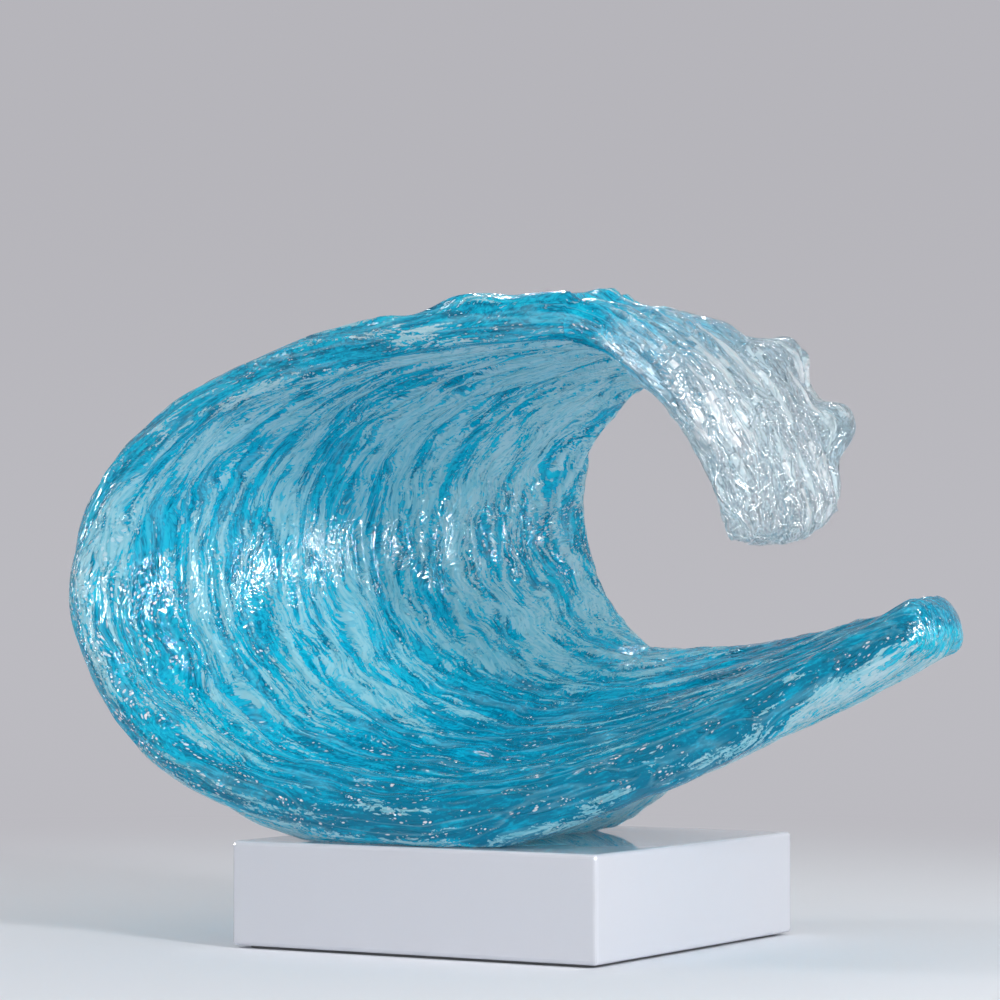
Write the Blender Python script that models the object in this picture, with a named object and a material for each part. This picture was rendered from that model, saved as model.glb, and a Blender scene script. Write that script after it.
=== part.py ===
# Resin wave sculpture. A curled sheet of blue resin with a clear lip stands on a square
# white block. Two studs set in its foot pass down through the block to nuts in a pocket
# underneath. The block stands on a thin pad, which leaves the pocket open.
#
# Metres, +Z up. The origin is on the surface that the pad rests on, under the middle of
# the block. The open side of the curl faces -Y, and its tail points along +X.

import math

import bmesh
import bpy
import numpy as np

for old in list(bpy.data.objects):
    bpy.data.objects.remove(old)

# Block and pad
BLOCK_SIDE = 0.200
BLOCK_HEIGHT = 0.050
BLOCK_EDGE = 0.002
PAD_THICKNESS = 0.001
PAD_INSET = 0.005
PAD_CORNER = 0.006

# Gap between pieces that touch
SEAT = 0.0003

# Studs, washers and nuts, the holes they pass through, and the pocket under the block that
# takes them, which is cut from the pad too. Its margin is round the washers.
STUD_DIAMETER = 0.008
STUD_SPACING = 0.048
STUD_ROW_X = -0.010
STUD_ROW_Y = -0.040
STUD_BITE = 0.014
STUD_TAIL = 0.003
STUD_CHAMFER = 0.0008
HOLE_PLAY = 0.001
POCKET_MARGIN = 0.005
POCKET_DEPTH = 0.018
POCKET_CORNER = 0.006
WASHER_DIAMETER = 0.020
WASHER_THICKNESS = 0.0016
NUT_ACROSS_FLATS = 0.013
NUT_HEIGHT = 0.0065
NUT_CHAMFER = 0.0006

# Where the sheet's two ends lie. Heights of the sheet are over the block.
TAIL_REACH = 0.247
TAIL_HEIGHT = 0.109
TAIL_NEAR_Y = -0.064
TAIL_FAR_Y = -0.020
LIP_REACH = 0.160
LIP_NEAR_HEIGHT = 0.135
LIP_FAR_HEIGHT = 0.150
LIP_NEAR_Y = -0.062
LIP_FAR_Y = 0.004

# Near rim, the wide edge of the curl towards the viewer
NEAR_Y = -0.100
NEAR_FLOOR_X = 0.005
NEAR_FLOOR_HEIGHT = 0.008
NEAR_BACK_X = -0.197
NEAR_BACK_HEIGHT = 0.121
NEAR_CREST_X = 0.082
NEAR_CREST_HEIGHT = 0.242

# Far rim, the narrow edge of the curl behind it
FAR_FLOOR_Y = 0.070
FAR_FLOOR_X = 0.046
FAR_FLOOR_HEIGHT = 0.084
FAR_BACK_Y = 0.086
FAR_BACK_X = -0.013
FAR_BACK_HEIGHT = 0.164
FAR_CREST_Y = 0.052
FAR_CREST_X = 0.072
FAR_CREST_HEIGHT = 0.236

# Thickness of the sheet, and how far its middle bows out between the rims
TAIL_THICKNESS = 0.027
FLOOR_THICKNESS = 0.027
BACK_THICKNESS = 0.020
CREST_THICKNESS = 0.020
LIP_THICKNESS = 0.034
TAIL_BOW = 0.002
FLOOR_BOW = 0.006
BACK_BOW = 0.010
CREST_BOW = 0.006
LIP_BOW = 0.003

# Keel, the extra resin under the floor that brings the foot down to the block. Its place
# and its spread each way are along the sheet, where the floor is 1 and the back is 2.
KEEL_DEPTH = 0.077
KEEL_PLACE = 1.2
KEEL_TO_TAIL = 0.35
KEEL_TO_BACK = 0.60
KEEL_STERN = 0.050

# Round ends of the sheet
TAIL_NOSE = 0.012
LIP_NOSE = 0.012

# Fullness of each rim's arcs: 2 is an ellipse, more is squarer. The tail's is a power.
NEAR_FULLNESS = {"tail": 1.57, "back": 2.20, "crest": 2.29, "lip": 1.57}
FAR_FULLNESS = {"tail": 1.94, "back": 1.77, "crest": 1.88, "lip": 2.20}

# Flow ridges inside the curl, lower where half the sheet is narrower than their fade, and
# slower swells outside it
RIDGE_COUNT = 8
RIDGE_HEIGHT = 0.0012
RIDGE_FADE = 0.060
SWELL_COUNT = 3
SWELL_HEIGHT = 0.0010

# How the ridges and swells wander: turns to the side, and pace along or across the sheet
RIDGE_WANDER_ALONG = (0.35, 1.9)
RIDGE_WANDER_ACROSS = (0.20, 2.3)
RIDGE_PULSE = (0.30, 5.1)
SWELL_WANDER = (0.30, 2.4)

# Heights of the lobes where the crest breaks, and depths of the dips between them
CREST_LUMP = 0.0050
CREST_BUMP = 0.0045
CREST_FOLD = 0.0040
BREAK_DIP = 0.0040
FAR_DIP = 0.0030
UPPER_LOBE = 0.0115
LOWER_LOBE = 0.0100

# Each lobe's place along the sheet (3 is the crest and 4 the lip's end), place across it
# (-1 is the near rim and 1 the far rim), height, and spread both ways
LOBES = (
    (2.90, -0.75, CREST_LUMP, 0.045, 0.35),
    (2.98, -0.70, CREST_BUMP, 0.035, 0.35),
    (3.03, -0.40, CREST_FOLD, 0.035, 0.30),
    (3.14, 0.00, -BREAK_DIP, 0.060, 0.40),
    (3.20, 0.80, -FAR_DIP, 0.050, 0.30),
    (3.45, 0.80, UPPER_LOBE, 0.062, 0.34),
    (3.73, 0.82, LOWER_LOBE, 0.055, 0.32),
)

# The clear resin of the lip starts here along the sheet
CLEAR_START = 3.14

# Facets. Rings are spaced along a line between the rims, at this share towards the far one.
SPACING_LINE = 0.35
TANGENT_STEP = 0.02
FINE_STEPS = 500
SMOOTH_ANGLE = math.radians(40)
BODY_RINGS = 64
CREST_RINGS = 24
NOSE_RINGS = 4
INNER_POINTS = 27
OUTER_POINTS = 15
ROUND_POINTS = 3
SIDES = 24

KEYS = ("tail", "floor", "back", "crest", "lip")

block_base = PAD_THICKNESS + SEAT
block_top = block_base + BLOCK_HEIGHT
foot_height = block_top + SEAT
pocket_top = block_base + POCKET_DEPTH
stud_places = [(STUD_ROW_X, STUD_ROW_Y + side * STUD_SPACING / 2) for side in (-1, 1)]

near_rim = {
    "tail": (TAIL_REACH, TAIL_NEAR_Y, TAIL_HEIGHT),
    "floor": (NEAR_FLOOR_X, NEAR_Y, NEAR_FLOOR_HEIGHT),
    "back": (NEAR_BACK_X, NEAR_Y, NEAR_BACK_HEIGHT),
    "crest": (NEAR_CREST_X, NEAR_Y, NEAR_CREST_HEIGHT),
    "lip": (LIP_REACH, LIP_NEAR_Y, LIP_NEAR_HEIGHT),
}
far_rim = {
    "tail": (TAIL_REACH, TAIL_FAR_Y, TAIL_HEIGHT),
    "floor": (FAR_FLOOR_X, FAR_FLOOR_Y, FAR_FLOOR_HEIGHT),
    "back": (FAR_BACK_X, FAR_BACK_Y, FAR_BACK_HEIGHT),
    "crest": (FAR_CREST_X, FAR_CREST_Y, FAR_CREST_HEIGHT),
    "lip": (LIP_REACH, LIP_FAR_Y, LIP_FAR_HEIGHT),
}
thickness = {
    "tail": TAIL_THICKNESS,
    "floor": FLOOR_THICKNESS,
    "back": BACK_THICKNESS,
    "crest": CREST_THICKNESS,
    "lip": LIP_THICKNESS,
}
bow = {
    "tail": TAIL_BOW,
    "floor": FLOOR_BOW,
    "back": BACK_BOW,
    "crest": CREST_BOW,
    "lip": LIP_BOW,
}


def flowing(values, along):
    """Values that flow smoothly along the sheet through its five keys, at 0, 1, 2, 3 and 4."""
    points = np.array([values[key] for key in KEYS], dtype=float)
    slopes = np.gradient(points, axis=0)
    part = np.clip(np.floor(along).astype(int), 0, len(KEYS) - 2)
    t = along - part
    return (
        (2 * t**3 - 3 * t**2 + 1) * points[part]
        + (t**3 - 2 * t**2 + t) * slopes[part]
        + (3 * t**2 - 2 * t**3) * points[part + 1]
        + (t**3 - t**2) * slopes[part + 1]
    )


def rim_outline(rim, fullness, along):
    """X and height of a rim: the rising tail, then quarter arcs to the back, crest and lip."""
    part = min(int(along), len(KEYS) - 2)
    t = along - part
    start, end = rim[KEYS[part]], rim[KEYS[part + 1]]
    if part == 0:
        x = start[0] + (end[0] - start[0]) * t
        return x, end[2] + (start[2] - end[2]) * (1 - t) ** fullness["tail"]
    power = 2 / fullness[KEYS[part + 1]]
    rise = math.sin(t * math.pi / 2) ** power
    fall = max(math.cos(t * math.pi / 2), 0) ** power
    if part == 2:
        return end[0] + (start[0] - end[0]) * fall, start[2] + (end[2] - start[2]) * rise
    return start[0] + (end[0] - start[0]) * rise, end[2] + (start[2] - end[2]) * fall


def rim_points(rim, fullness, along):
    outline = [rim_outline(rim, fullness, place) for place in along]
    depth = flowing({key: rim[key][1] for key in KEYS}, along)
    return np.array([(x, y, block_top + height) for (x, height), y in zip(outline, depth)])


def both_rims(along):
    return rim_points(near_rim, NEAR_FULLNESS, along), rim_points(far_rim, FAR_FULLNESS, along)


def ridges(along, across, half_width):
    """Flow ridges on the inner face. They follow the curl and wander slowly across it."""
    turns, pace = RIDGE_WANDER_ALONG
    wander = turns * math.sin(pace * along)
    turns, pace = RIDGE_WANDER_ACROSS
    wander = wander + turns * np.sin(pace * across + along)
    share, pace = RIDGE_PULSE
    strength = (1 - share + share * math.sin(pace * along + 1)) * min(half_width / RIDGE_FADE, 1) ** 2
    return RIDGE_HEIGHT * strength * np.sin(math.pi * RIDGE_COUNT * (across + 1) + 2 * math.pi * wander)


def swells(along, across):
    turns, pace = SWELL_WANDER
    wander = turns * math.sin(pace * along)
    return SWELL_HEIGHT * np.sin(math.pi * SWELL_COUNT * (across + 1) + 2 * math.pi * wander)


def lobes(along, across):
    total = np.zeros_like(across)
    for place, side, height, spread, width in LOBES:
        away = ((along - place) / spread) ** 2 + ((across - side) / width) ** 2
        total += height * np.exp(-(away**1.5))
    return total


def keel(along, across, half_width):
    """Extra depth under the floor, which grows towards the far rim and rounds up at its stern."""
    spread = KEEL_TO_TAIL if along < KEEL_PLACE else KEEL_TO_BACK
    reach = math.exp(-(((along - KEEL_PLACE) / spread) ** 2))
    stern = np.clip((1 - across) * half_width / KEEL_STERN, 0, 1)
    return KEEL_DEPTH * reach * (across + 1) / 2 * np.sqrt(1 - (1 - stern) ** 2)


def across_places(count, edge):
    """Places across the sheet: a few round each rim, whose round part is edge wide."""
    turn = 1 - np.cos(np.linspace(0, math.pi / 2, ROUND_POINTS + 1))
    rim = -1 + edge * turn[:-1]
    middle = np.linspace(-1 + edge, 1 - edge, count)
    return np.concatenate([rim, middle, -rim[::-1]])


def ring(along, nose, middle, reach, out):
    """One cross-section: the inner face from the near rim to the far one, and back outside."""
    half = float(flowing(thickness, np.float64(along))) / 2
    bulge = float(flowing(bow, np.float64(along)))
    half_width = np.linalg.norm(reach)
    edge = half / half_width

    def face(count, side):
        across = across_places(count, edge)
        inward = np.clip((1 - abs(across)) / edge, 0, 1)
        profile = np.sqrt(1 - (1 - inward) ** 2)
        if side < 0:
            height = (half + ridges(along, across, half_width)) * profile
        else:
            height = (half + swells(along, across) + lobes(along, across)) * profile
            height = height + keel(along, across, half_width)
        centre = middle + np.outer(across, reach) + np.outer(bulge * (1 - across**2), out)
        return centre + side * np.outer(height, out)

    points = np.concatenate([face(INNER_POINTS, -1), face(OUTER_POINTS, 1)[-2:0:-1]])
    centre = middle + bulge * out
    return centre + (points - centre) * math.sqrt(1 - (1 - nose) ** 2)


def sheet_rings(distances, length, places_at):
    """Rings at given distances along the sheet, drawn in towards its two round ends."""
    along = places_at(distances)
    near, far = both_rims(along)
    before = sum(both_rims(np.clip(along - TANGENT_STEP, 0, len(KEYS) - 1)))
    after = sum(both_rims(np.clip(along + TANGENT_STEP, 0, len(KEYS) - 1)))
    rings = []
    for n, place in enumerate(along):
        middle = (near[n] + far[n]) / 2
        reach = (far[n] - near[n]) / 2
        out = np.cross(after[n] - before[n], reach)
        out /= np.linalg.norm(out)
        nose = min(distances[n] / TAIL_NOSE, (length - distances[n]) / LIP_NOSE, 1)
        rings.append(ring(place, nose, middle, reach, out))
    return rings


def wave_rings():
    """Rings of the blue sheet and of the clear lip, a seat's gap apart where they meet."""
    fine = np.linspace(0, len(KEYS) - 1, FINE_STEPS)
    near, far = both_rims(fine)
    line = near + SPACING_LINE * (far - near)
    distance = np.concatenate([[0], np.cumsum(np.linalg.norm(np.diff(line, axis=0), axis=1))])
    length = distance[-1]
    split = np.interp(CLEAR_START, fine, distance)
    turn = (1 - np.cos(np.linspace(0, math.pi / 2, NOSE_RINGS + 1)))[:-1]
    tail = TAIL_NOSE * turn
    body = np.linspace(TAIL_NOSE, split - SEAT / 2, BODY_RINGS)
    crest = np.linspace(split + SEAT / 2, length - LIP_NOSE, CREST_RINGS)
    lip = length - LIP_NOSE * turn[::-1]

    def places_at(distances):
        return np.interp(distances, distance, fine)

    return (
        sheet_rings(np.concatenate([tail, body]), length, places_at),
        sheet_rings(np.concatenate([crest, lip]), length, places_at),
    )


def material(name, colour, roughness, metallic=0.0, clear=0.0):
    made = bpy.data.materials.new(name)
    made.use_nodes = True
    shader = made.node_tree.nodes["Principled BSDF"]
    shader.inputs["Base Color"].default_value = (*colour, 1)
    shader.inputs["Roughness"].default_value = roughness
    shader.inputs["Metallic"].default_value = metallic
    shader.inputs["Transmission Weight"].default_value = clear
    return made


def place(mesh, name, x=0, y=0):
    thing = bpy.data.objects.new(name, mesh)
    bpy.context.scene.collection.objects.link(thing)
    thing.location = (x, y, 0)
    return thing


def coat(mesh, finish):
    mesh.materials.append(finish)
    mesh.shade_smooth()
    mesh.set_sharp_from_angle(angle=SMOOTH_ANGLE)
    return mesh


def skin(name, loops, start="face", end="face"):
    """A closed mesh over a row of loops. An end is a face or a point, or start is a ring."""
    build = bmesh.new()
    rows = []
    for number, loop in enumerate(loops):
        tip = (number == 0 and start == "point") or (number == len(loops) - 1 and end == "point")
        points = [loop.mean(axis=0)] if tip else loop
        rows.append([build.verts.new(point) for point in points])
    pairs = list(zip(rows, rows[1:]))
    if start == "ring":
        pairs.append((rows[-1], rows[0]))
    for one, other in pairs:
        count = max(len(one), len(other))
        for n in range(count):
            m = (n + 1) % count
            corners = [one[n % len(one)], one[m % len(one)], other[m % len(other)], other[n % len(other)]]
            build.faces.new(list(dict.fromkeys(corners)))
    if start == "face":
        build.faces.new(rows[0])
    if end == "face":
        build.faces.new(rows[-1])
    bmesh.ops.recalc_face_normals(build, faces=build.faces)
    mesh = bpy.data.meshes.new(name)
    build.to_mesh(mesh)
    build.free()
    return mesh


def turned(name, profile, start="face", end="face"):
    """A mesh turned about Z from a profile of radii and heights. A radius may be a function."""
    angles = np.linspace(0, 2 * math.pi, SIDES, endpoint=False)
    loops = []
    for radius, height in profile:
        radii = radius(angles) if callable(radius) else np.full(SIDES, radius)
        loops.append(np.stack([radii * np.cos(angles), radii * np.sin(angles), np.full(SIDES, height)], 1))
    return skin(name, loops, start, end)


def box(name, size, centre):
    build = bmesh.new()
    bmesh.ops.create_cube(build, size=1)
    bmesh.ops.scale(build, vec=size, verts=build.verts)
    bmesh.ops.translate(build, vec=centre, verts=build.verts)
    mesh = bpy.data.meshes.new(name)
    build.to_mesh(mesh)
    build.free()
    return mesh


def cut(thing, mesh, places):
    """Cut a hidden shape out of a piece at each of the places."""
    for number, (x, y) in enumerate(places, 1):
        cutter = place(mesh, f"{mesh.name}_{number}", x, y)
        cutter.hide_render = True
        cutter.display_type = "WIRE"
        boolean = thing.modifiers.new(cutter.name, "BOOLEAN")
        boolean.operation = "DIFFERENCE"
        boolean.solver = "EXACT"
        boolean.object = cutter


def make_wave(blue, clear):
    body_rings, crest_rings = wave_rings()
    body = place(coat(skin("wave_body", body_rings, start="point"), blue), "wave_body")
    place(coat(skin("wave_lip", crest_rings, end="point"), clear), "wave_lip")
    reach = 4 * BLOCK_SIDE
    ground = box("foot_cut", (reach, reach, BLOCK_HEIGHT), (0, 0, foot_height - BLOCK_HEIGHT / 2))
    cut(body, ground, [(0, 0)])
    hole = STUD_DIAMETER / 2 + SEAT
    blind = turned("stud_socket", [(hole, block_base), (hole, foot_height + STUD_BITE + SEAT)])
    cut(body, blind, stud_places)


def slab(name, length, width, base, top, corner):
    """A plate with round upright corners, its length along Y."""
    build = bmesh.new()
    build.from_mesh(box(name, (width, length, top - base), (0, 0, (base + top) / 2)))
    upright = [edge for edge in build.edges if abs(edge.verts[0].co.z - edge.verts[1].co.z) > 0]
    bmesh.ops.bevel(build, geom=upright, offset=corner, segments=6, profile=0.5, affect="EDGES")
    mesh = bpy.data.meshes.new(name)
    build.to_mesh(mesh)
    build.free()
    return mesh


def pocket(name, top):
    """The shape of the pocket under the block, from below the pad up to a height."""
    width = WASHER_DIAMETER + 2 * POCKET_MARGIN
    return slab(name, STUD_SPACING + width, width, -PAD_THICKNESS, top, POCKET_CORNER)


def make_block(white):
    size = (BLOCK_SIDE, BLOCK_SIDE, BLOCK_HEIGHT)
    block = place(coat(box("block", size, (0, 0, block_base + BLOCK_HEIGHT / 2)), white), "block")
    edge = block.modifiers.new("rounded_edges", "BEVEL")
    edge.width = BLOCK_EDGE
    edge.segments = 3
    cut(block, pocket("block_pocket", pocket_top), [(STUD_ROW_X, STUD_ROW_Y)])
    hole = STUD_DIAMETER / 2 + HOLE_PLAY / 2
    cut(block, turned("stud_hole", [(hole, block_base), (hole, block_top + BLOCK_EDGE)]), stud_places)


def make_pad(felt):
    side = BLOCK_SIDE - 2 * PAD_INSET
    pad = place(coat(slab("base_pad", side, side, 0, PAD_THICKNESS, PAD_CORNER), felt), "base_pad")
    cut(pad, pocket("pad_window", pocket_top), [(STUD_ROW_X, STUD_ROW_Y)])


def hexagon(across_flats):
    def radius(angles):
        return across_flats / 2 / np.cos((angles + math.pi / 6) % (math.pi / 3) - math.pi / 6)
    return radius


def make_fixings(steel):
    """Each stud stands in the foot and carries a washer and a nut in the block's pocket."""
    washer_top = pocket_top - SEAT
    nut_top = washer_top - WASHER_THICKNESS - SEAT
    nut_base = nut_top - NUT_HEIGHT
    stud_base = nut_base - STUD_TAIL
    stud_top = foot_height + STUD_BITE
    radius = STUD_DIAMETER / 2
    bore = radius + SEAT
    point = radius - STUD_CHAMFER
    corners = hexagon(NUT_ACROSS_FLATS)

    def worn(angles):
        return np.minimum(corners(angles), NUT_ACROSS_FLATS / 2 + NUT_CHAMFER / 2)

    stud = turned("stud", [
        (point, stud_base),
        (radius, stud_base + STUD_CHAMFER),
        (radius, stud_top - STUD_CHAMFER),
        (point, stud_top),
    ])
    washer = turned("washer", [
        (WASHER_DIAMETER / 2, washer_top - WASHER_THICKNESS),
        (WASHER_DIAMETER / 2, washer_top),
        (bore, washer_top),
        (bore, washer_top - WASHER_THICKNESS),
    ], start="ring", end="ring")
    nut = turned("nut", [
        (worn, nut_base),
        (corners, nut_base + NUT_CHAMFER),
        (corners, nut_top - NUT_CHAMFER),
        (worn, nut_top),
        (bore, nut_top),
        (bore, nut_base),
    ], start="ring", end="ring")
    for mesh in (stud, washer, nut):
        coat(mesh, steel)
        for end, (x, y) in zip(("front", "rear"), stud_places):
            place(mesh, f"{mesh.name}_{end}", x, y)


make_wave(
    material("blue_resin", (0.010, 0.330, 0.560), 0.08, clear=0.6),
    material("clear_resin", (0.800, 0.910, 0.930), 0.05, clear=0.9),
)
make_block(material("white_gloss", (0.860, 0.880, 0.900), 0.06))
make_pad(material("pad_felt", (0.090, 0.095, 0.100), 0.90))
make_fixings(material("stainless_steel", (0.620, 0.620, 0.640), 0.30, metallic=1.0))
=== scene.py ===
import math

import bpy
import numpy as np
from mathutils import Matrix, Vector, noise


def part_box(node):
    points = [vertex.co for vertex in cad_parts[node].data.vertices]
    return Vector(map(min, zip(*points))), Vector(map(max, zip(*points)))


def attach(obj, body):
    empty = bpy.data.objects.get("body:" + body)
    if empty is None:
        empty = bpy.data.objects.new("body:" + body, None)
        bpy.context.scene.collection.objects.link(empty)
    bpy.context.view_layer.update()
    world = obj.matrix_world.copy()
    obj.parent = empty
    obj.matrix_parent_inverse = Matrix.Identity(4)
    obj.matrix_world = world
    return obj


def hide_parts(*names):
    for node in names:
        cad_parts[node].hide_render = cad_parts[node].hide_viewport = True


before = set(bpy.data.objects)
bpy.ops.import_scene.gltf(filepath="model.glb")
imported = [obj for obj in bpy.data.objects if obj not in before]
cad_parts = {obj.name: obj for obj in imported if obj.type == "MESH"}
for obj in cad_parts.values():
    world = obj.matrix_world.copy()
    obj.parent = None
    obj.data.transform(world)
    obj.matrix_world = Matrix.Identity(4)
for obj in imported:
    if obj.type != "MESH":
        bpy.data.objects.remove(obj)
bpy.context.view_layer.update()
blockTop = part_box("block")[1].z
print("frame loaded:", len(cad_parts), "nodes, block top at", round(blockTop, 4), "m")


# Sheet of the wave. Metres, heights over the block's top, as in the solid model. The sheet
# runs through five keys, at 0, 1, 2, 3 and 4 along it.
keys = ("tail", "floor", "back", "crest", "lip")
waveShape = {
    "nearRim": {
        "tail": (0.247, -0.064, 0.109),
        "floor": (0.005, -0.100, 0.008),
        "back": (-0.197, -0.100, 0.121),
        "crest": (0.082, -0.100, 0.242),
        "lip": (0.160, -0.062, 0.135),
    },
    "farRim": {
        "tail": (0.247, -0.020, 0.109),
        "floor": (0.046, 0.070, 0.084),
        "back": (-0.013, 0.086, 0.164),
        "crest": (0.072, 0.052, 0.236),
        "lip": (0.160, 0.004, 0.150),
    },
    "nearFullness": {"tail": 1.57, "back": 2.20, "crest": 2.29, "lip": 1.57},
    "farFullness": {"tail": 1.94, "back": 1.77, "crest": 1.88, "lip": 2.20},
    "thickness": {"tail": 0.027, "floor": 0.027, "back": 0.020, "crest": 0.020, "lip": 0.034},
    "bow": {"tail": 0.002, "floor": 0.006, "back": 0.010, "crest": 0.006, "lip": 0.003},
    "keelDepth": 0.077,
    "keelPlace": 1.2,
    "keelToTail": 0.35,
    "keelToBack": 0.60,
    "keelStern": 0.050,
    "nose": 0.012,
    "clearStart": 3.14,      # the clear resin starts here along the sheet
    "footGap": 0.0003,       # gap between the foot and the block
    "spacingLine": 0.35,     # rings are spaced along a line this far from the near rim
}

# Surface of the resin: what the casting tool and the brush left on it
waveRelief = {
    "ridgeCount": 8,
    "ridgeHeight": 0.0012,
    "ridgeFade": 0.060,
    "ridgeWander": (0.35, 1.9, 0.20, 2.3),   # reach and rate along, then across
    "ridgePulse": (0.70, 0.30, 5.1, 1.0),    # steady share, swing, rate, start
    "swellCount": 3,
    "swellHeight": 0.0010,
    "swellWander": (0.30, 2.4),
    "ropes": (
        # share, length, width
        (0.35, 0.170, 0.0200),
        (1.00, 0.062, 0.0060),
        (0.45, 0.030, 0.0036),
    ),
    "ropeHeight": 0.0017,
    "ropeBends": (
        # how often in a metre, along and across, reach in metres, noise seed
        ((11, 22, 22), 0.0140, 3.7),
        ((14, 20, 20), 0.0065, 9.2),
    ),
    "floorCalm": 0.45,       # how much lower the ropes are on the floor and the tail
    "ropeEdge": 2.6,
    "lumpSize": 0.0062,
    "lumpHeight": 0.0004,
    "lipLumpHeight": 0.0017,
    "lipLumps": (2.90, 3.20),    # the lumps grow over this stretch
    "narrowSheet": 0.040,    # the relief fades where half the sheet's width is less
    "leastRelief": 0.35,
    "narrowing": 0.45,       # how far strands stay wide where the sheet gets narrow
    "commonWidth": 0.095,
}

# Lobes: along, across, height, spread along, spread across
waveLobes = (
    (2.90, -0.75, 0.0050, 0.045, 0.35),
    (2.98, -0.70, 0.0045, 0.035, 0.35),
    (3.03, -0.40, 0.0040, 0.035, 0.30),
    (3.14, 0.00, -0.0040, 0.060, 0.40),
    (3.20, 0.80, -0.0030, 0.050, 0.30),
    (3.42, 0.82, 0.0090, 0.090, 0.36),
    (3.71, 0.84, 0.0155, 0.072, 0.36),
)

# Facets of the wave
waveMesh = {
    "bodyRings": 375,
    "lipRings": 290,
    "noseRings": 10,
    "innerPoints": 136,
    "outerPoints": 86,
    "roundPoints": 7,
}


def flowing(values, along):
    # a smooth run through the five keys
    points = np.array([values[key] for key in keys], dtype=float)
    slopes = np.gradient(points, axis=0)
    part = np.clip(np.floor(along).astype(int), 0, len(keys) - 2)
    t = along - part
    return (
        (2 * t**3 - 3 * t**2 + 1) * points[part]
        + (t**3 - 2 * t**2 + t) * slopes[part]
        + (3 * t**2 - 2 * t**3) * points[part + 1]
        + (t**3 - t**2) * slopes[part + 1]
    )


def rimOutline(rim, fullness, along):
    part = min(int(along), len(keys) - 2)
    t = along - part
    start, end = rim[keys[part]], rim[keys[part + 1]]
    if part == 0:
        x = start[0] + (end[0] - start[0]) * t
        return x, end[2] + (start[2] - end[2]) * (1 - t) ** fullness["tail"]
    power = 2 / fullness[keys[part + 1]]
    rise = math.sin(t * math.pi / 2) ** power
    fall = max(math.cos(t * math.pi / 2), 0) ** power
    if part == 2:
        return end[0] + (start[0] - end[0]) * fall, start[2] + (end[2] - start[2]) * rise
    return start[0] + (end[0] - start[0]) * rise, end[2] + (start[2] - end[2]) * fall


def rimPoints(rim, fullness, along):
    outline = [rimOutline(rim, fullness, place) for place in along]
    depth = flowing({key: rim[key][1] for key in keys}, along)
    return np.array([(x, y, blockTop + height) for (x, height), y in zip(outline, depth)])


def bothRims(along):
    near = rimPoints(waveShape["nearRim"], waveShape["nearFullness"], along)
    far = rimPoints(waveShape["farRim"], waveShape["farFullness"], along)
    return near, far


def ringRidges(along, across, halfWidth):
    # the same slow ridges as on the solid
    reach, rate, sideReach, sideRate = waveRelief["ridgeWander"]
    wander = reach * math.sin(rate * along) + sideReach * np.sin(sideRate * across + along)
    steady, swing, rate, start = waveRelief["ridgePulse"]
    strength = steady + swing * math.sin(rate * along + start)
    strength *= min(halfWidth / waveRelief["ridgeFade"], 1) ** 2
    turns = math.pi * waveRelief["ridgeCount"] * (across + 1) + 2 * math.pi * wander
    return waveRelief["ridgeHeight"] * strength * np.sin(turns)


def ringSwells(along, across):
    reach, rate = waveRelief["swellWander"]
    wander = reach * math.sin(rate * along)
    turns = math.pi * waveRelief["swellCount"] * (across + 1) + 2 * math.pi * wander
    return waveRelief["swellHeight"] * np.sin(turns)


def ringLobes(along, across):
    total = np.zeros_like(across)
    for place, side, height, spread, width in waveLobes:
        away = ((along - place) / spread) ** 2 + ((across - side) / width) ** 2
        total += height * np.exp(-(away**1.5))
    return total


def ringKeel(along, across, halfWidth):
    spread = waveShape["keelToTail"] if along < waveShape["keelPlace"] else waveShape["keelToBack"]
    reach = math.exp(-(((along - waveShape["keelPlace"]) / spread) ** 2))
    stern = np.clip((1 - across) * halfWidth / waveShape["keelStern"], 0, 1)
    return waveShape["keelDepth"] * reach * (across + 1) / 2 * np.sqrt(1 - (1 - stern) ** 2)


def acrossPlaces(count, edge):
    turn = 1 - np.cos(np.linspace(0, math.pi / 2, waveMesh["roundPoints"] + 1))
    rim = -1 + edge * turn[:-1]
    middle = np.linspace(-1 + edge, 1 - edge, count)
    return np.concatenate([rim, middle, -rim[::-1]])


def sheetRing(along, nose, middle, reach, out):
    # points of one cross-section, with each point's place across, face and distance off the middle
    half = float(flowing(waveShape["thickness"], np.float64(along))) / 2
    bulge = float(flowing(waveShape["bow"], np.float64(along)))
    halfWidth = np.linalg.norm(reach)
    edge = half / halfWidth

    def face(count, side):
        across = acrossPlaces(count, edge)
        inward = np.clip((1 - abs(across)) / edge, 0, 1)
        profile = np.sqrt(1 - (1 - inward) ** 2)
        if side < 0:
            height = (half + ringRidges(along, across, halfWidth)) * profile
        else:
            height = (half + ringSwells(along, across) + ringLobes(along, across)) * profile
            height = height + ringKeel(along, across, halfWidth)
        centre = middle + np.outer(across, reach) + np.outer(bulge * (1 - across**2), out)
        points = centre + side * np.outer(height, out)
        return points, across, side * half * profile

    inner = face(waveMesh["innerPoints"], -1)
    outer = [part[-2:0:-1] for part in face(waveMesh["outerPoints"], 1)]
    points, across, depth = (np.concatenate(pair) for pair in zip(inner, outer))
    centre = middle + bulge * out
    shrink = math.sqrt(1 - (1 - nose) ** 2)
    return centre + (points - centre) * shrink, across * shrink, depth * shrink, halfWidth


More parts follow.
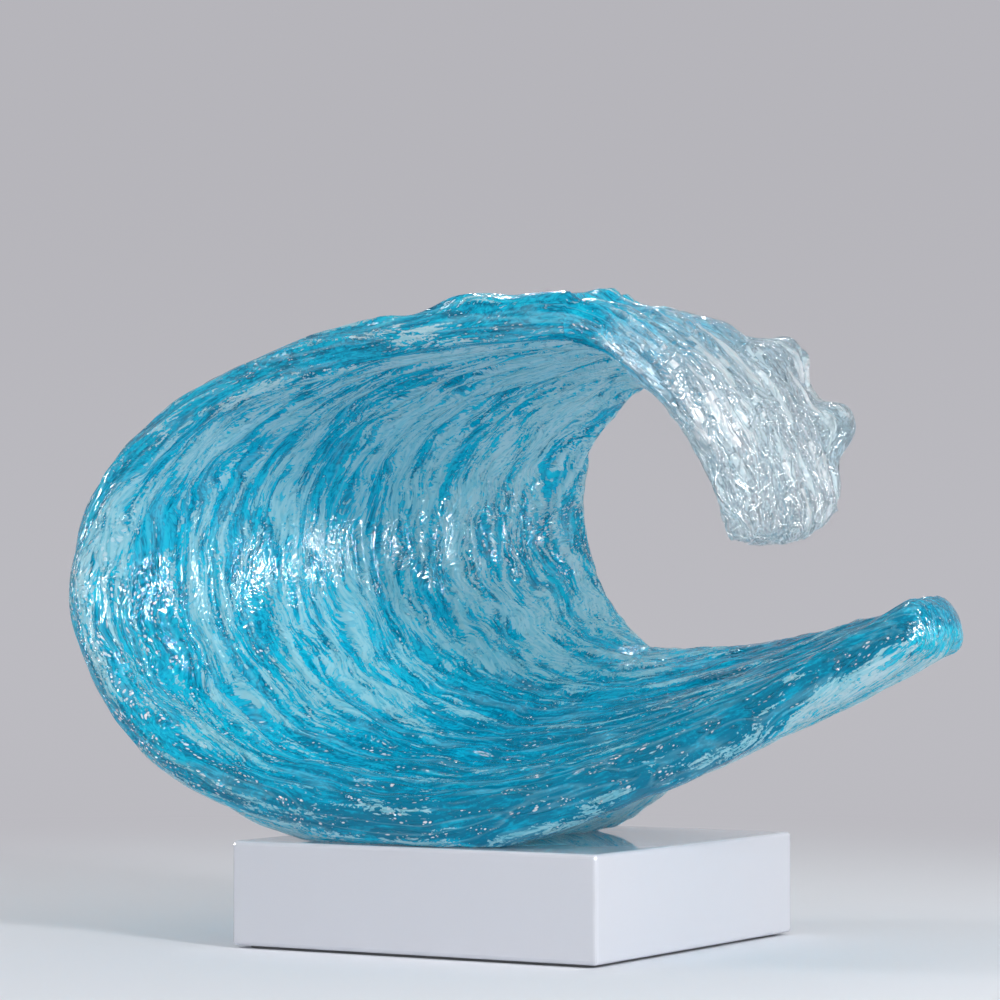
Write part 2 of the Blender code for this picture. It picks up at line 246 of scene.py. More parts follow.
def sheetGrid():
    # all the rings of the sheet, and the ring where the clear resin starts
    fine = np.linspace(0, len(keys) - 1, 1500)
    near, far = bothRims(fine)
    line = near + waveShape["spacingLine"] * (far - near)
    distance = np.concatenate([[0], np.cumsum(np.linalg.norm(np.diff(line, axis=0), axis=1))])
    length = distance[-1]
    split = np.interp(waveShape["clearStart"], fine, distance)
    turn = (1 - np.cos(np.linspace(0, math.pi / 2, waveMesh["noseRings"] + 1)))[:-1]
    turn[0] = 0.004
    nose = waveShape["nose"]
    body = np.linspace(nose, split, waveMesh["bodyRings"])
    lip = np.linspace(split, length - nose, waveMesh["lipRings"])[1:]
    places = np.concatenate([nose * turn, body, lip, length - nose * turn[::-1]])
    along = np.interp(places, distance, fine)
    near, far = bothRims(along)
    before = sum(bothRims(np.clip(along - 0.02, 0, len(keys) - 1)))
    after = sum(bothRims(np.clip(along + 0.02, 0, len(keys) - 1)))
    rings = []
    for n, place in enumerate(along):
        reach = (far[n] - near[n]) / 2
        out = np.cross(after[n] - before[n], reach)
        out /= np.linalg.norm(out)
        taper = min(places[n] / nose, (length - places[n]) / nose, 1)
        rings.append(sheetRing(place, taper, (near[n] + far[n]) / 2, reach, out))
    points, across, depth, halfWidth = (np.array(part) for part in zip(*rings))
    return {
        "points": points,
        "along": np.repeat(along[:, None], points.shape[1], axis=1),
        "distance": np.repeat(places[:, None], points.shape[1], axis=1),
        "across": across,
        "depth": depth,
        "halfWidth": np.repeat(halfWidth[:, None], points.shape[1], axis=1),
        "split": len(turn) + waveMesh["bodyRings"] - 1,
    }


def gridNormals(points):
    # area-weighted normals of a grid whose rings are closed
    right = np.roll(points, -1, axis=1)
    one = right[1:] - points[:-1]
    other = points[1:] - right[:-1]
    faces = np.cross(one, other)
    total = np.zeros_like(points)
    for ringShift in (0, 1):
        for turn in (0, 1):
            rows = slice(ringShift, ringShift + len(faces))
            total[rows] += np.roll(faces, turn, axis=1)
    length = np.linalg.norm(total, axis=2, keepdims=True)
    return total / np.maximum(length, 1e-12)


def noiseField(coords, seed):
    flat = coords.reshape(-1, 3) + seed
    return np.array([noise.noise(Vector(point)) for point in flat]).reshape(coords.shape[:-1])


def flowCoords(grid):
    # metres along, metres across that draw in where the sheet narrows, and metres off the middle
    keep = waveRelief["narrowing"]
    width = grid["halfWidth"] ** keep * waveRelief["commonWidth"] ** (1 - keep)
    return np.stack([grid["distance"], grid["across"] * width, grid["depth"]], axis=-1)


def addRelief(grid, flow, clear):
    # ropes that run with the flow, and lumps that grow towards the lip
    normals = gridNormals(grid["points"])
    bends = [reach * noiseField(flow * often, seed) for often, reach, seed in waveRelief["ropeBends"]]
    bent = flow + np.stack([*bends, np.zeros_like(clear)], axis=-1)

    def stretched(length, width, seed):
        return noiseField(bent / (length, width, width), seed)

    ropes = 0
    for n, (share, length, width) in enumerate(waveRelief["ropes"]):
        ropes = ropes + share * stretched(length, width, 1.3 + 2.6 * n)
    ends = np.minimum(grid["distance"], grid["distance"].max() - grid["distance"])
    ropes = ropes * smoothStep(0.001, waveShape["nose"], ends)
    size = waveRelief["lumpSize"]
    lumps = stretched(size * 2, size, 7.1) + 0.5 * stretched(size, size * 0.6, 8.3)
    lumpHeight = waveRelief["lumpHeight"] * (1 - clear) + waveRelief["lipLumpHeight"] * clear
    calm = 1 - waveRelief["floorCalm"] * smoothStep(1.5, 1.1, grid["along"])
    height = waveRelief["ropeHeight"] * np.tanh(waveRelief["ropeEdge"] * ropes) * calm + lumpHeight * lumps
    fade = np.clip(grid["halfWidth"] / waveRelief["narrowSheet"], waveRelief["leastRelief"], 1)
    grid["points"] = grid["points"] + normals * (height * fade)[..., None]
    return ropes


def smoothStep(low, high, value):
    t = np.clip((value - low) / (high - low), 0, 1)
    return t * t * (3 - 2 * t)


# Share of each zone of the wave in what the resin shows there
zoneShares = {
    "milk": {     # pale strands on the inner face
        "all": -0.30, "wall": 0.80, "wallRim": -0.44, "leftRim": 0.04,
        # far floor and far wall: pale strands raised further, partly as painted light where the lip and the
        # wall shade them
        "farFloor": 0.86, "farWall": 0.20, "ceiling": 0.16,
    },
    # under: paler strands as painted bounce light from below
    "outerMilk": {"outerWall": 0.22, "under": 0.74},
    "tipMilk": {"tip": -0.6},
    # under and far floor: less deep blue, partly as painted light in shade
    "deep": {"all": 0.84, "wall": -0.40, "farFloor": -0.40, "rim": 0.15, "under": -0.70},
    # where the painted glints and the dimples gather
    "paintedGlintsAndDimples": {"all": 0.25, "floor": 0.30, "lowWall": 0.25, "midWall": 0.75, "corner": 0.70, "rim": 0.35},
    # mist: painted light on the far wall, a greyer tone at the top and on the left rim
    "mistAndPaintedLight": {"high": 1.0, "farWall": 0.8, "leftRim": 0.3},
}


def zoneMasks(grid):
    # where each zone of the wave lies, from 0 to 1
    along, across = grid["along"], grid["across"]
    inside = smoothStep(0.007, 0.002, grid["depth"])
    wall = smoothStep(1.05, 1.55, along)
    rim = np.clip(smoothStep(-0.84, -0.96, across) + smoothStep(0.90, 1.0, across), 0, 1)
    farWall = smoothStep(0.2, 0.8, across) * wall
    middle = smoothStep(2.4, 2.1, along)
    underEdge = -1.02 + 0.34 * smoothStep(0.22, 0.50, along) * smoothStep(0.95, 0.75, along)
    return {
        "all": np.ones_like(along),
        "inside": inside,
        "wall": wall,
        "rim": rim,
        "wallRim": rim * wall,
        "leftRim": rim * smoothStep(1.60, 1.85, along) * smoothStep(2.25, 2.05, along),
        "floor": (1 - wall) * inside,
        "farFloor": smoothStep(0.1, 0.8, across) * smoothStep(0.45, 0.9, along) * (1 - wall),
        "farWall": farWall,
        "midWall": farWall * smoothStep(1.5, 1.8, along) * middle,
        "lowWall": wall * smoothStep(2.3, 1.7, along),
        "corner": smoothStep(-0.50, -0.78, across) * smoothStep(1.2, 1.5, along) * middle,
        "ceiling": smoothStep(2.20, 2.75, along),
        "high": smoothStep(2.0, 2.75, along),
        "outerWall": smoothStep(1.2, 1.7, along),
        "under": (1 - inside) * smoothStep(1.9, 1.4, along) * smoothStep(underEdge, underEdge + 0.06, across),
        "tip": smoothStep(0.020, 0.006, grid["distance"]),
    }


def resinZones(grid):
    # pale strands, strength of the blue and the painted glints and dimples at each point, and the white mist,
    # which is partly painted light
    masks = zoneMasks(grid)

    def total(name):
        return sum(share * masks[zone] for zone, share in zoneShares[name].items())

    inside = masks["inside"]
    milk = total("milk") * inside + (1 - inside) * total("outerMilk") + total("tipMilk")
    # the underside takes the whole mist as painted bounce light
    mistAndPaintedLight = np.clip(total("mistAndPaintedLight") * inside + masks["under"], 0, 1)
    return np.stack([milk, total("deep"), total("paintedGlintsAndDimples")], axis=-1), mistAndPaintedLight


def addAttribute(mesh, name, kind, values):
    attribute = mesh.attributes.new(name, kind, "POINT")
    field = "vector" if kind == "FLOAT_VECTOR" else "value"
    attribute.data.foreach_set(field, np.ascontiguousarray(values, dtype=np.float32).ravel())


def sheetPiece(name, grid, rows, data, normals, materials):
    # a closed mesh over some of the rings; its ends are flat faces
    points = grid["points"][rows]
    ringCount, count = points.shape[:2]
    ids = np.arange(ringCount * count).reshape(ringCount, count)
    nextIds = np.roll(ids, -1, axis=1)
    quads = np.stack([ids[:-1], nextIds[:-1], nextIds[1:], ids[1:]], axis=-1).reshape(-1, 4)
    faces = quads.tolist() + [ids[0][::-1].tolist(), ids[-1].tolist()]
    mesh = bpy.data.meshes.new(name)
    mesh.from_pydata(points.reshape(-1, 3).tolist(), [], faces)
    for material in materials:
        mesh.materials.append(material)
    mesh.shade_smooth()
    for label, kind, values in data:
        addAttribute(mesh, label, kind, values[rows])
    mesh.normals_split_custom_set_from_vertices(normals[rows].reshape(-1, 3).tolist())
    piece = bpy.data.objects.new(name, mesh)
    bpy.context.scene.collection.objects.link(piece)
    return piece


def makeNode(tree, kind, values=None, **settings):
    node = tree.nodes.new(kind)
    for name, value in settings.items():
        setattr(node, name, value)
    for key, value in (values or {}).items():
        socket = node.inputs[key]
        if hasattr(value, "is_output"):
            tree.links.new(value, socket)
        else:
            socket.default_value = value
    return node


def mathNode(tree, operation, one, other=0.0, clamp=False):
    settings = {"operation": operation, "use_clamp": clamp}
    return makeNode(tree, "ShaderNodeMath", {0: one, 1: other}, **settings).outputs[0]


def rangeNode(tree, value, fromLow, fromHigh, toLow=0.0, toHigh=1.0):
    node = makeNode(tree, "ShaderNodeMapRange", {
        "Value": value, "From Min": fromLow, "From Max": fromHigh, "To Min": toLow, "To Max": toHigh,
    }, interpolation_type="SMOOTHSTEP")
    return node.outputs["Result"]


def mixColour(tree, share, one, other):
    settings = {"data_type": "RGBA", "clamp_factor": True}
    return makeNode(tree, "ShaderNodeMix", {0: share, 6: one, 7: other}, **settings).outputs[2]


def flowNoise(tree, vector, length, width, detail=2.0, roughness=0.5, distortion=0.0, offset=0.0):
    scaled = makeNode(tree, "ShaderNodeMapping", {
        "Vector": vector,
        "Location": (offset, offset, offset),
        "Scale": (1 / length, 1 / width, 1 / width),
    })
    texture = makeNode(tree, "ShaderNodeTexNoise", {
        "Vector": scaled.outputs[0], "Scale": 1.0, "Detail": detail,
        "Roughness": roughness, "Distortion": distortion,
    })
    return texture


def thinLines(tree, value, sharpness):
    # 1 where the value is a half, falling off to each side
    away = mathNode(tree, "ABSOLUTE", mathNode(tree, "SUBTRACT", value, 0.5))
    return mathNode(tree, "SUBTRACT", 1.0, mathNode(tree, "MULTIPLY", away, sharpness), True)


def newGroup(name, inputs, outputs):
    group = bpy.data.node_groups.new(name, "ShaderNodeTree")
    for label, value in inputs.items():
        socket = group.interface.new_socket(label, in_out="INPUT", socket_type="NodeSocketFloat")
        socket.default_value = value
    for label, kind in outputs.items():
        group.interface.new_socket(label, in_out="OUTPUT", socket_type=kind)
    return group, group.nodes.new("NodeGroupInput"), group.nodes.new("NodeGroupOutput")


# Patterns in the resin: length, width, detail, roughness, distortion, offset
resinPatterns = {
    "warp": (0.055, 0.030, 2.0),
    "strips": (0.026, 0.0030, 3.0, 0.62, 0.6),
    "fibres": (0.012, 0.0013, 1.0, 0.5, 0.3, 4.0),
    "grain": (0.0022, 0.0013, 1.0, 0.6, 0.8, 7.0),
    "patch": (0.020, 0.0042, 2.0, 0.6, 0.0, 2.0),
    "lumps": (0.0066, 0.0036, 1.0, 0.5, 0.8, 5.0),
    "flecks": (0.0034, 0.0014, 1.0, 0.6, 0.5, 8.0),
    "lines": (0.110, 0.0085, 1.5, 0.5, 0.3, 6.0),
    "ripples": (0.0095, 0.0028, 0.0, 0.5, 0.0, 9.0),
}

# How the patterns add up in the resin
flowLook = {
    "shift": (0.040, 0.022, 0.0),    # metres that the warp moves the strands, along and across
    "ropes": 1.1,                    # how far the pale strands keep to the ropes
    "strands": (("strips", 2.7), ("fibres", 0.9), ("grain", 1.9)),
    "spread": 0.95,
    "flecks": (0.54, 0.66, 0.42),    # start, end and strength of the dark flecks in the strands
    "lines": (20.0, 0.24),           # sharpness and strength of the thin lines
    "calm": (1.30, 0.45),            # what the blue's strength leaves of the grain
    "grain": 6.0,
    "depth": (("patch", 1.7), ("fibres", -1.2)),
    "dimples": (460, 700, 700),      # in a metre
    "dimpleSmoothness": 0.35,
    # the painted glints: white specks of colour that stand in for highlights
    "specks": 0.95,                  # how many to a dimple, in one direction
    "speckSize": 0.14,
    "speckVariety": 0.34,
    "patches": (0.69, 0.17, 0.06),   # start, how far a sparkling zone lowers it, and edge
    "patchMilk": (1.15, 0.65),       # pale strands hide the sparkle
    "calmMilk": 1.25,                # and still the blue's small waves
    "patchRipple": 0.5,
    "patchDimple": 0.7,
    "calmDimple": 0.9,
}


def makeFlowGroup():
    # pale strands, grain, painted glints and relief that follow the wave's flow
    reliefs = {"Ripple Relief": 0.0020, "Lump Relief": 0.0060, "Glitter Relief": 0.0007}
    outputs = ("Milk", "Deep", "MistAndPaintedLight", "PaintedGlints", "Fibre", "Height")
    group, given, result = newGroup(
        "resinFlow", {"Milk": 0.0, "Softness": 0.11, **reliefs}, {name: "NodeSocketFloat" for name in outputs}
    )

    def attribute(name, output="Fac"):
        return makeNode(group, "ShaderNodeAttribute", attribute_name=name).outputs[output]

    def vectorMath(operation, one, other):
        return makeNode(group, "ShaderNodeVectorMath", {0: one, 1: other}, operation=operation).outputs[0]

    def plus(one, other):
        return mathNode(group, "ADD", one, other)

    def minus(one, other, clamp=False):
        return mathNode(group, "SUBTRACT", one, other, clamp)

    def times(first, *others):
        for value in others:
            first = mathNode(group, "MULTIPLY", first, value)
        return first

    flow = attribute("flow", "Vector")
    zone = makeNode(group, "ShaderNodeSeparateXYZ", {0: attribute("zone", "Vector")}).outputs
    warp = flowNoise(group, flow, *resinPatterns["warp"]).outputs["Color"]
    centred = vectorMath("SUBTRACT", warp, (0.5, 0.5, 0.5))
    bent = vectorMath("ADD", flow, vectorMath("MULTIPLY", centred, flowLook["shift"]))
    shown = {
        name: flowNoise(group, bent, *sizes).outputs["Fac"]
        for name, sizes in resinPatterns.items() if name != "warp"
    }

    mixed = times(attribute("strand"), flowLook["ropes"])
    for name, part in flowLook["strands"]:
        mixed = plus(mixed, times(minus(shown[name], 0.5), part))
    line = times(minus(minus(0.5, zone["X"]), given.outputs["Milk"]), flowLook["spread"])
    softness = given.outputs["Softness"]
    milk = rangeNode(group, mixed, minus(line, softness), plus(line, softness))
    start, end, strength = flowLook["flecks"]
    milk = minus(milk, times(rangeNode(group, shown["flecks"], start, end), strength), True)
    sharpness, strength = flowLook["lines"]
    milk = mathNode(group, "MAXIMUM", milk, times(thinLines(group, shown["lines"], sharpness), strength))

    most, share = flowLook["calm"]
    plain = times(minus(most, zone["Y"]), share)
    deep = plus(zone["Y"], times(minus(shown["grain"], 0.5), plain, flowLook["grain"]))
    for name, part in flowLook["depth"]:
        deep = plus(deep, times(minus(shown[name], 0.5), part))

    cells = makeNode(group, "ShaderNodeMapping", {"Vector": bent, "Scale": flowLook["dimples"]}).outputs[0]
    dimples = makeNode(group, "ShaderNodeTexVoronoi", {
        "Vector": cells, "Scale": 1.0, "Smoothness": flowLook["dimpleSmoothness"],
    }, feature="SMOOTH_F1").outputs["Distance"]
    # painted glints: white specks in the sparkling patches, standing in for the lamps' highlights
    specks = makeNode(group, "ShaderNodeTexVoronoi", {
        "Vector": cells, "Scale": flowLook["specks"],
    }, feature="F1").outputs
    chosen = makeNode(group, "ShaderNodeSeparateColor", {0: specks["Color"]}).outputs[0]
    away = minus(specks["Distance"], times(chosen, flowLook["speckVariety"]))
    bright = rangeNode(group, away, flowLook["speckSize"], 0.0)
    start, lower, edge = flowLook["patches"]
    wide = minus(start, times(zone["Z"], lower))
    most, share = flowLook["patchMilk"]
    cluster = rangeNode(group, shown["patch"], wide, plus(wide, edge))
    cluster = times(cluster, minus(most, times(milk, share), True))

    wet = plus(times(cluster, flowLook["patchRipple"]), times(plain, minus(flowLook["calmMilk"], milk, True)))
    rippled = times(shown["ripples"], wet, given.outputs["Ripple Relief"])
    rough = plus(times(cluster, flowLook["patchDimple"]), times(plain, flowLook["calmDimple"]))
    dimpled = times(dimples, rough, given.outputs["Glitter Relief"])
    lumped = times(shown["lumps"], attribute("clear"), given.outputs["Lump Relief"])
    for label, value in {
        "Milk": milk, "Deep": deep, "MistAndPaintedLight": attribute("mistAndPaintedLight"),
        "PaintedGlints": times(cluster, bright), "Fibre": shown["fibres"],
        "Height": plus(plus(rippled, dimpled), lumped),
    }.items():
        group.links.new(value, result.inputs[label])
    return group


def newMaterial(name):
    material = bpy.data.materials.new(name)
    material.use_nodes = True
    return material, material.node_tree, material.node_tree.nodes["Principled BSDF"]


def setShader(shader, **values):
    for name, value in values.items():
        shader.inputs[name].default_value = value


resinColours = {
    "deep": (0.000, 0.230, 0.385, 1),
    "blue": (0.000, 0.480, 0.730, 1),
    "bright": (0.010, 0.650, 0.870, 1),
    "milk": (0.240, 0.690, 0.825, 1),
    "paleMilk": (0.430, 0.805, 0.890, 1),
    # mist: pale tone of the strands, partly painted light
    "mistAndPaintedLight": (0.640, 0.880, 0.940, 1),
    "clear": (0.900, 0.930, 0.955, 1),
    "clearShade": (0.700, 0.840, 0.890, 1),
    # painted glint: the white of the specks that stand in for highlights
    "paintedGlintWhite": (0.950, 0.980, 1.000, 1),
}

# name, transmission, roughness, gloss and where each starts on the way from blue to clear
resinSteps = (
    ("blueResin", 0.27, 0.07, 0.13, 0.00),
    ("mixedResin", 0.38, 0.07, 0.20, 0.20),
    ("paleResin", 0.50, 0.07, 0.28, 0.42),
    ("thinResin", 0.66, 0.06, 0.38, 0.62),
    ("clearResin", 0.88, 0.05, 0.46, 0.82),
    # painted highlights: a less clear, whiter resin in patches over the lip
    ("foamResin", 0.44, 0.12, 0.40, 1.40),
)

# Where each colour starts and is whole, by the strength of the blue or the fibres' noise
colourSteps = {"blue": (0.0, 0.5), "deep": (0.4, 1.0), "fibre": (0.38, 0.62)}

# Painted highlights in the clear resin, as white patches of a less clear resin, and the ragged border of the
# blue: metres along and across
paintedHighlightsAndBorder = {
    "size": (0.026, 0.0080),
    "start": 0.15,
    "edge": 0.08,
    "ragged": (0.0042, 0.0022),
    "border": 0.32,
    "clearFrom": 0.97,     # no painted highlights where the resin is bluer
    "step": 2.0,           # past every start in resinSteps
}


def makeResin(name, flowGroup, transmission, roughness, gloss):
    material, tree, shader = newMaterial(name)
    flow = makeNode(tree, "ShaderNodeGroup", node_tree=flowGroup).outputs
    blue = rangeNode(tree, flow["Deep"], *colourSteps["blue"])
    base = mixColour(tree, blue, resinColours["bright"], resinColours["blue"])
    deep = rangeNode(tree, flow["Deep"], *colourSteps["deep"])
    base = mixColour(tree, deep, base, resinColours["deep"])
    fibre = rangeNode(tree, flow["Fibre"], *colourSteps["fibre"])
    pale = mixColour(tree, fibre, resinColours["milk"], resinColours["paleMilk"])
    mistyAndPaintedLight = mixColour(tree, fibre, resinColours["paleMilk"], resinColours["mistAndPaintedLight"])
    pale = mixColour(tree, flow["MistAndPaintedLight"], pale, mistyAndPaintedLight)
    base = mixColour(tree, flow["Milk"], base, pale)
    clear = makeNode(tree, "ShaderNodeAttribute", attribute_name="clear").outputs["Fac"]
    glass = mixColour(tree, flow["Milk"], resinColours["clearShade"], resinColours["clear"])
    base = mixColour(tree, clear, base, glass)
    # painted glints mixed into the colour
    base = mixColour(tree, flow["PaintedGlints"], base, resinColours["paintedGlintWhite"])
    tree.links.new(base, shader.inputs["Base Color"])
    bump = makeNode(tree, "ShaderNodeBump", {"Height": flow["Height"], "Distance": 1.0, "Strength": 1.0})
    tree.links.new(bump.outputs[0], shader.inputs["Normal"])
    setShader(shader, **{
        "Roughness": roughness, "IOR": 1.50, "Specular IOR Level": gloss, "Transmission Weight": transmission,
    })
    return material


def makeBondFace():
    # the face where the two castings meet can't be seen
    material, _, shader = newMaterial("bondFace")
    setShader(shader, Alpha=0.0, Roughness=1.0)
    return material


# Border of the blue and the clear resin: where it starts and ends along the sheet
clearBorder = {"start": 3.00, "end": 3.42, "ropeReach": 0.16, "ropeEdge": 1.5, "slant": 0.09}


def clearShare(grid, ropes):
    # 0 in the blue resin, 1 in the clear; the ropes draw the border out
    drawn = clearBorder["ropeReach"] * np.clip(clearBorder["ropeEdge"] * ropes, -1, 1)
    place = grid["along"] + drawn + clearBorder["slant"] * grid["across"]
    return smoothStep(clearBorder["start"], clearBorder["end"], place)


def resinStepAt(flow, clear):
    # number of the material at each point
    length, width = paintedHighlightsAndBorder["ragged"]
    ragged = noiseField(flow / (length, width, width), 11.3)
    length, width = paintedHighlightsAndBorder["size"]
    paintedHighlight = noiseField(flow / (length, width, width), 5.1) + 3 * paintedHighlightsAndBorder["edge"] * ragged
    shown = clear + 4 * paintedHighlightsAndBorder["border"] * ragged * clear * (1 - clear)
    shown = np.where((paintedHighlight > paintedHighlightsAndBorder["start"]) & (clear > paintedHighlightsAndBorder["clearFrom"]), paintedHighlightsAndBorder["step"], shown)
    starts = [values[-1] for name, *values in resinSteps[1:]]
    return np.searchsorted(starts, shown, side="right")


def makeWave():
    grid = sheetGrid()
    flow = flowCoords(grid)
    ropes = addRelief(grid, flow, smoothStep(*waveRelief["lipLumps"], grid["along"]))
    foot = blockTop + waveShape["footGap"]
    grid["points"][..., 2] = np.maximum(grid["points"][..., 2], foot)
    normals = gridNormals(grid["points"])
    clear = clearShare(grid, ropes)
    zones, mistAndPaintedLight = resinZones(grid)
    data = [
        ("flow", "FLOAT_VECTOR", flow),
        ("zone", "FLOAT_VECTOR", zones),
        ("clear", "FLOAT", clear),
        ("mistAndPaintedLight", "FLOAT", mistAndPaintedLight),
        ("strand", "FLOAT", ropes),
    ]
    group = makeFlowGroup()
    materials = [makeResin(name, group, *values[:3]) for name, *values in resinSteps] + [makeBondFace()]
    split = grid["split"]
    body = sheetPiece("waveBody", grid, slice(0, split + 1), data, normals, materials)
    lip = sheetPiece("waveLip", grid, slice(split, None), data, normals, materials)
    steps = resinStepAt(flow, clear)
    number = {name: n for n, (name, *_) in enumerate(resinSteps)}
    bond = len(resinSteps)
    for piece, rows, ends in (
        (body, slice(0, split), (number["blueResin"], bond)),
        (lip, slice(split, len(clear) - 1), (bond, number["clearResin"])),
    ):
        indices = np.concatenate([steps[rows].ravel(), ends])
        piece.data.polygons.foreach_set("material_index", indices.astype(np.int32))
    for piece, node, slot in ((body, "wave_body", "blue_resin"), (lip, "wave_lip", "clear_resin")):
        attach(piece, "root")
        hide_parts(node)
    return body, lip


body, lip = makeWave()
print("wave made:", len(body.data.polygons), "and", len(lip.data.polygons), "faces")


blockFinish = {
    "colour": (0.710, 0.725, 0.785, 1),
    "dulling": 0.985,
    "roughness": 0.02,
    "smudge": 0.03,
    "smudgeSize": 0.030,
}
padFinish = {"colour": (0.10, 0.11, 0.12, 1), "flecks": (0.20, 0.21, 0.22, 1), "fibre": 0.0006}
steelFinish = {"colour": (0.60, 0.60, 0.62, 1), "roughness": 0.32, "smudge": 0.12, "brushing": 0.0003}


def objectNoise(tree, size, stretch=(1, 1, 1), detail=3.0):
    place = makeNode(tree, "ShaderNodeTexCoord").outputs["Object"]
    scaled = makeNode(tree, "ShaderNodeMapping", {"Vector": place, "Scale": [s / size for s in stretch]})
    values = {"Vector": scaled.outputs[0], "Scale": 1.0, "Detail": detail}
    return makeNode(tree, "ShaderNodeTexNoise", values).outputs["Fac"]


def makeBlockMaterial():
    material, tree, shader = newMaterial("whiteGloss")
    clouds = objectNoise(tree, blockFinish["smudgeSize"])
    low = blockFinish["roughness"]
    rough = rangeNode(tree, clouds, 0.35, 0.70, low, low + blockFinish["smudge"])
    tree.links.new(rough, shader.inputs["Roughness"])
    dull = tuple(blockFinish["dulling"] * part for part in blockFinish["colour"][:3]) + (1,)
    tree.links.new(mixColour(tree, clouds, blockFinish["colour"], dull), shader.inputs["Base Color"])
    setShader(shader, IOR=1.49)
    return material


def makePadMaterial():
    material, tree, shader = newMaterial("greyFelt")
    fibres = objectNoise(tree, padFinish["fibre"], (1, 3, 1))
    felt = mixColour(tree, fibres, padFinish["colour"], padFinish["flecks"])
    tree.links.new(felt, shader.inputs["Base Color"])
    bump = makeNode(tree, "ShaderNodeBump", {"Height": fibres, "Distance": 0.0002})
    tree.links.new(bump.outputs[0], shader.inputs["Normal"])
    setShader(shader, Roughness=0.95)
    return material


def makeSteelMaterial():
    material, tree, shader = newMaterial("plainSteel")
    lines = objectNoise(tree, steelFinish["brushing"], (1, 1, 0.1))
    low = steelFinish["roughness"]
    rough = rangeNode(tree, lines, 0.3, 0.7, low, low + steelFinish["smudge"])
    tree.links.new(rough, shader.inputs["Roughness"])
    setShader(shader, **{"Base Color": steelFinish["colour"], "Metallic": 1.0})
    return material


def dress(node, material):
    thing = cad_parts[node]
    thing.data.materials.clear()
    thing.data.materials.append(material)


dress("block", makeBlockMaterial())
dress("base_pad", makePadMaterial())
steel = makeSteelMaterial()
for part in ("stud", "washer", "nut"):
    for end in ("front", "rear"):
        dress(f"{part}_{end}", steel)
print("block, pad and fixings dressed")


studio = {
    "backdropHigh": (0.468, 0.462, 0.495, 1),
    "backdropLow": (0.500, 0.495, 0.530, 1),
    "floorNear": (0.80, 0.82, 0.87, 1),
    "floorRadius": 4.0,
    "fade": (0.30, 1.10),        # the floor turns into the backdrop over these distances
    "horizon": (-0.02, 0.14),    # and the low backdrop into the high one
    "fill": 0.58,
    "lamps": (
        # name, azimuth, elevation, distance, width, height, watts, lights the surface or only shines in it
        ("rightBox", 66, 22, 1.55, 0.22, 0.22, 12.0, True),
        ("leftBox", -60, 42, 1.55, 0.22, 0.22, 2.5, True),
        ("rightShine", 64, 13, 1.55, 0.28, 0.80, 42.0, False),
        ("frontShine", 37, 4, 1.55, 0.30, 0.50, 56.0, False),
        ("highShine", 60, 52, 1.55, 0.22, 0.22, 20.0, False),
        ("leftShine", -62, 4, 1.55, 0.25, 0.45, 24.0, False),
        ("backShine", -140, 52, 1.50, 0.18, 0.18, 9.0, False),
    ),
    "aim": (0.02, 0.0, 0.18),
}


def seenRay(tree):
    path = makeNode(tree, "ShaderNodeLightPath")
    seen = mathNode(tree, "MAXIMUM", path.outputs["Is Camera Ray"], path.outputs["Is Glossy Ray"])
    return mathNode(tree, "MAXIMUM", seen, path.outputs["Is Transmission Ray"])


def makeWorld():
    world = bpy.data.worlds.new("studio")
    world.use_nodes = True
    bpy.context.scene.world = world
    tree = world.node_tree
    background = tree.nodes["Background"]
    direction = makeNode(tree, "ShaderNodeTexCoord").outputs["Generated"]
    height = makeNode(tree, "ShaderNodeSeparateXYZ", {0: direction}).outputs["Z"]
    high = rangeNode(tree, height, *studio["horizon"])
    shown = mixColour(tree, high, studio["backdropLow"], studio["backdropHigh"])
    fill = (studio["fill"],) * 3 + (1,)
    tree.links.new(mixColour(tree, seenRay(tree), fill, shown), background.inputs["Color"])


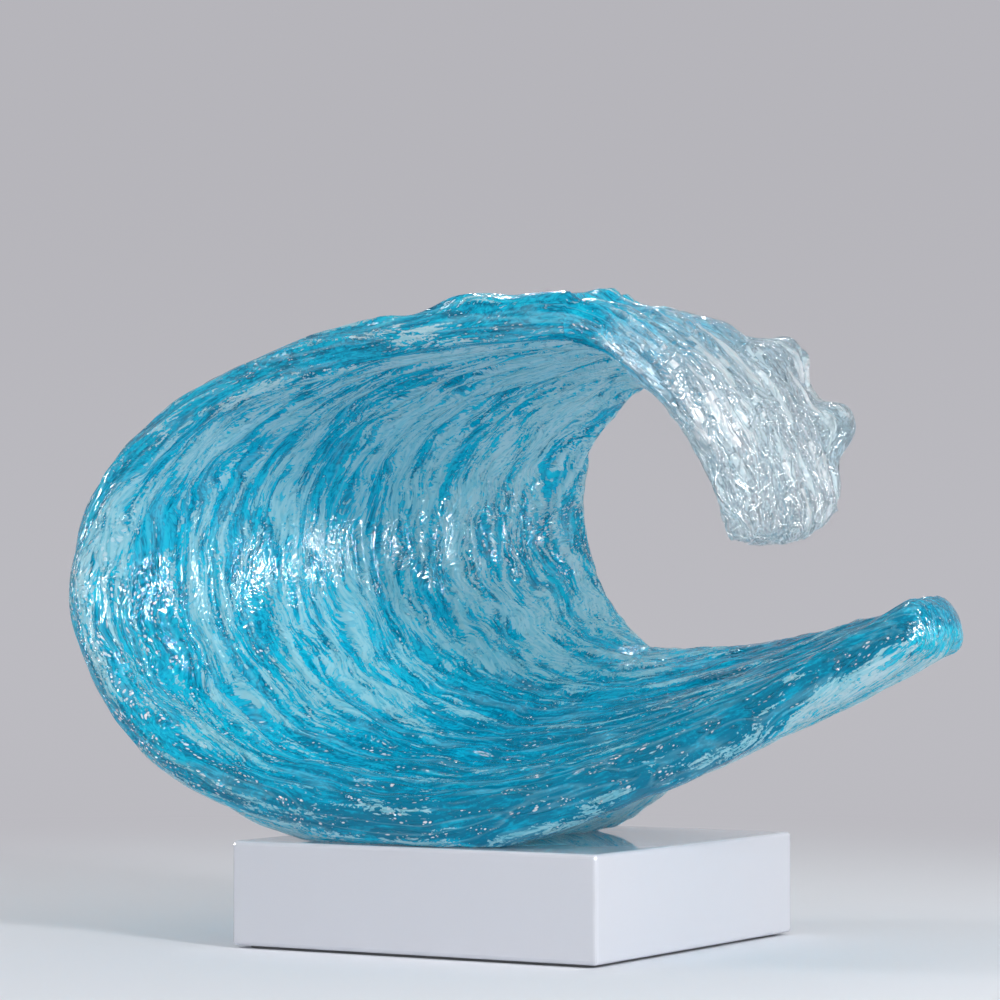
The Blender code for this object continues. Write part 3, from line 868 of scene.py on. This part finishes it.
def makeFloor():
    count = 96
    radius = studio["floorRadius"]
    angles = [2 * math.pi * n / count for n in range(count)]
    mesh = bpy.data.meshes.new("floor")
    points = [(radius * math.cos(angle), radius * math.sin(angle), 0) for angle in angles]
    mesh.from_pydata(points, [], [list(range(count))])
    floor = bpy.data.objects.new("floor", mesh)
    bpy.context.scene.collection.objects.link(floor)
    material, tree, shader = newMaterial("paleFloor")
    setShader(shader, **{"Base Color": studio["floorNear"], "Roughness": 0.6, "Specular IOR Level": 0.0})
    shown = makeNode(tree, "ShaderNodeEmission", {"Color": studio["backdropLow"], "Strength": 1.0})
    place = makeNode(tree, "ShaderNodeTexCoord").outputs["Object"]
    away = makeNode(tree, "ShaderNodeVectorMath", {0: place}, operation="LENGTH").outputs["Value"]
    far = rangeNode(tree, away, *studio["fade"])
    share = mathNode(tree, "MULTIPLY", far, seenRay(tree))
    blend = makeNode(tree, "ShaderNodeMixShader", {0: share, 1: shader.outputs[0], 2: shown.outputs[0]})
    tree.links.new(blend.outputs[0], tree.nodes["Material Output"].inputs["Surface"])
    mesh.materials.append(material)


def direction(azimuth, elevation):
    turn, rise = math.radians(azimuth), math.radians(elevation)
    return Vector((math.sin(turn) * math.cos(rise), -math.cos(turn) * math.cos(rise), math.sin(rise)))


def makeLamps():
    aim = Vector(studio["aim"])
    for name, azimuth, elevation, distance, width, height, watts, lights in studio["lamps"]:
        light = bpy.data.lights.new(name, "AREA")
        light.shape = "RECTANGLE"
        light.size, light.size_y, light.energy = width, height, watts
        lamp = bpy.data.objects.new(name, light)
        way = direction(azimuth, elevation)
        lamp.location = aim + way * distance
        lamp.rotation_euler = way.to_track_quat("Z", "Y").to_euler()
        lamp.visible_diffuse = lights
        bpy.context.scene.collection.objects.link(lamp)


cameraPlace = {
    "at": (0.86699, -1.47532, 0.15774),
    "azimuth": 30.727,
    "pitch": 1.944,
    "lens": 125.52,
    "sensor": 36.0,
}


def makeCamera():
    data = bpy.data.cameras.new("camera")
    data.lens, data.sensor_width = cameraPlace["lens"], cameraPlace["sensor"]
    camera = bpy.data.objects.new("camera", data)
    camera.location = cameraPlace["at"]
    camera.rotation_euler = (math.radians(90 + cameraPlace["pitch"]), 0, math.radians(cameraPlace["azimuth"]))
    bpy.context.scene.collection.objects.link(camera)
    bpy.context.scene.camera = camera


makeWorld()
makeFloor()
makeLamps()
makeCamera()
bpy.context.scene.view_settings.view_transform = "Standard"
print("studio, floor and camera made")
